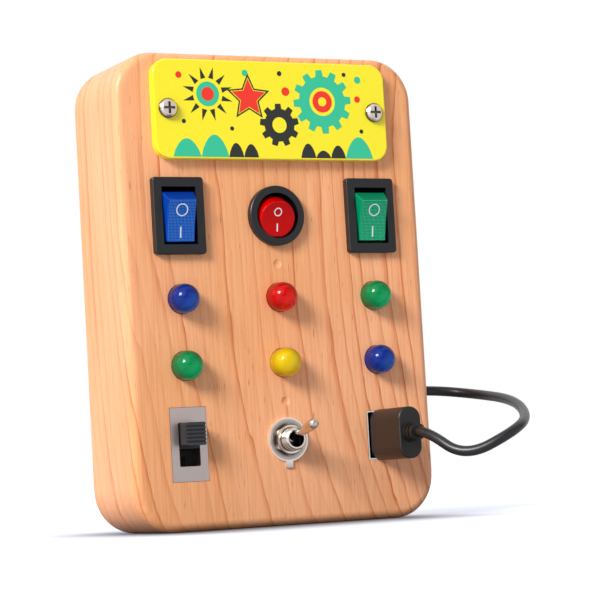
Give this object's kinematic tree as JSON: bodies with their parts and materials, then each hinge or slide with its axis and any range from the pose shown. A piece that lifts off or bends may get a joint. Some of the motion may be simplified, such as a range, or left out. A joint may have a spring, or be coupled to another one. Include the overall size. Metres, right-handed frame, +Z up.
{
  "type": "wooden busy board",
  "caption": "Child's upright wooden switch board with rocker, toggle and slide switches, coloured lamps, a name plate and a plug on a short tether.",
  "frame": {"origin": "middle of the flat face that the board stands on", "axes": "+X to the right as seen from the front, +Y from the front into the board, +Z up"},
  "size_m": [0.1122, 0.0738, 0.13],
  "materials": {
    "beech": "satin",
    "plywood": "matte",
    "steel": "brushed",
    "yellow": "gloss",
    "nickel": "polished",
    "black": "gloss",
    "copper": "bright",
    "led_blue": "clear tinted",
    "led_red": "clear tinted",
    "led_green": "clear tinted",
    "led_yellow": "clear tinted",
    "board_green": "satin",
    "cream": "satin",
    "red": "gloss",
    "grey": "matte",
    "white": "satin",
    "cord": "satin",
    "wire": "satin",
    "blue": "gloss",
    "green": "gloss"
  },
  "bodies": {
    "board": {"wooden_case": "beech", "back_panel": "plywood", "back_panel_screws": "steel", "name_plate": "yellow", "name_plate_screws": "nickel", "left_rocker_housing": "black", "right_rocker_housing": "black", "round_rocker_housing": "black", "rocker_terminals": "copper", "led_upper_left": "led_blue", "led_upper_middle": "led_red", "led_upper_right": "led_green", "led_lower_left": "led_green", "led_lower_middle": "led_yellow", "led_lower_right": "led_blue", "led_leads": "steel", "led_board": "board_green", "board_screws": "steel", "resistors": "cream", "toggle_bushing": "nickel", "toggle_frame": "steel", "toggle_body": "red", "toggle_nut": "nickel", "toggle_lock_washer": "nickel", "toggle_terminals": "copper", "slide_switch_frame": "steel", "slide_switch_base": "grey", "slide_switch_terminals": "copper", "usb_socket_shell": "steel", "usb_socket_tongue": "white", "usb_socket_contacts": "copper", "usb_socket_board": "board_green", "usb_cord_inner": "cord", "cord_bush": "cord", "wires": "wire", "battery_box": "black", "battery_cells": "grey", "battery_contacts": "steel"},
    "left_rocker": {"left_rocker_cap": "blue", "left_rocker_plunger": "steel"},
    "left_rocker_seesaw": {"left_rocker_contact": "copper"},
    "round_rocker": {"round_rocker_cap": "red", "round_rocker_plunger": "steel"},
    "round_rocker_seesaw": {"round_rocker_contact": "copper"},
    "right_rocker": {"right_rocker_cap": "green", "right_rocker_plunger": "steel"},
    "right_rocker_seesaw": {"right_rocker_contact": "copper"},
    "toggle": {"toggle_lever": "nickel"},
    "toggle_seesaw": {"toggle_contact": "copper"},
    "slider": {"slide_switch_knob": "black", "slide_switch_wiper": "copper"},
    "usb_plug": {"usb_plug_shell": "steel", "usb_plug_tongue": "white", "usb_plug_contacts": "copper", "usb_plug_grip": "black", "usb_cord": "cord"},
    "battery_lid": {"battery_cover": "black", "battery_cover_screws": "steel"}
  },
  "joints": [
    {"name": "left_rocker_tilt", "type": "hinge", "parent": "board", "child": "left_rocker", "pos_m": [-0.0294, -0.01295, 0.085], "axis": [-1, 0, 0], "range_deg": [0, 30]},
    {"name": "left_rocker_contact_rock", "type": "hinge", "parent": "board", "child": "left_rocker_seesaw", "pos_m": [-0.0294, -0.00747, 0.085], "axis": [1, 0, 0], "range_deg": [0, 12.1]},
    {"name": "round_rocker_tilt", "type": "hinge", "parent": "board", "child": "round_rocker", "pos_m": [0, -0.01355, 0.085], "axis": [-1, 0, 0], "range_deg": [0, 30]},
    {"name": "round_rocker_contact_rock", "type": "hinge", "parent": "board", "child": "round_rocker_seesaw", "pos_m": [0, -0.00807, 0.085], "axis": [1, 0, 0], "range_deg": [0, 12.1]},
    {"name": "right_rocker_tilt", "type": "hinge", "parent": "board", "child": "right_rocker", "pos_m": [0.0294, -0.01295, 0.085], "axis": [-1, 0, 0], "range_deg": [0, 30]},
    {"name": "right_rocker_contact_rock", "type": "hinge", "parent": "board", "child": "right_rocker_seesaw", "pos_m": [0.0294, -0.00747, 0.085], "axis": [1, 0, 0], "range_deg": [0, 12.1]},
    {"name": "toggle_tilt", "type": "hinge", "parent": "board", "child": "toggle", "pos_m": [0, -0.01725, 0.0234], "axis": [1, 0, 0], "range_deg": [0, 28]},
    {"name": "toggle_contact_rock", "type": "hinge", "parent": "board", "child": "toggle_seesaw", "pos_m": [0, -0.00777, 0.0234], "axis": [-1, 0, 0], "range_deg": [0, 12.1]},
    {"name": "slider_travel", "type": "slide", "parent": "board", "child": "slider", "axis": [0, 0, -1], "range_m": [0, 0.0054]},
    {"name": "usb_plug_pull", "type": "slide", "parent": "board", "child": "usb_plug", "axis": [0, -1, 0], "range_m": [0, 0.014], "deforming": ["usb_cord"]},
    {"name": "battery_lid_lift", "type": "slide", "parent": "board", "child": "battery_lid", "axis": [0, 1, 0], "range_m": [0, 0.012]}
  ],
  "couplings": [
    {"joint": "left_rocker_contact_rock", "follows": "left_rocker_tilt", "ratio": 0.4},
    {"joint": "round_rocker_contact_rock", "follows": "round_rocker_tilt", "ratio": 0.4},
    {"joint": "right_rocker_contact_rock", "follows": "right_rocker_tilt", "ratio": 0.4},
    {"joint": "toggle_contact_rock", "follows": "toggle_tilt", "ratio": 0.4285}
  ]
}
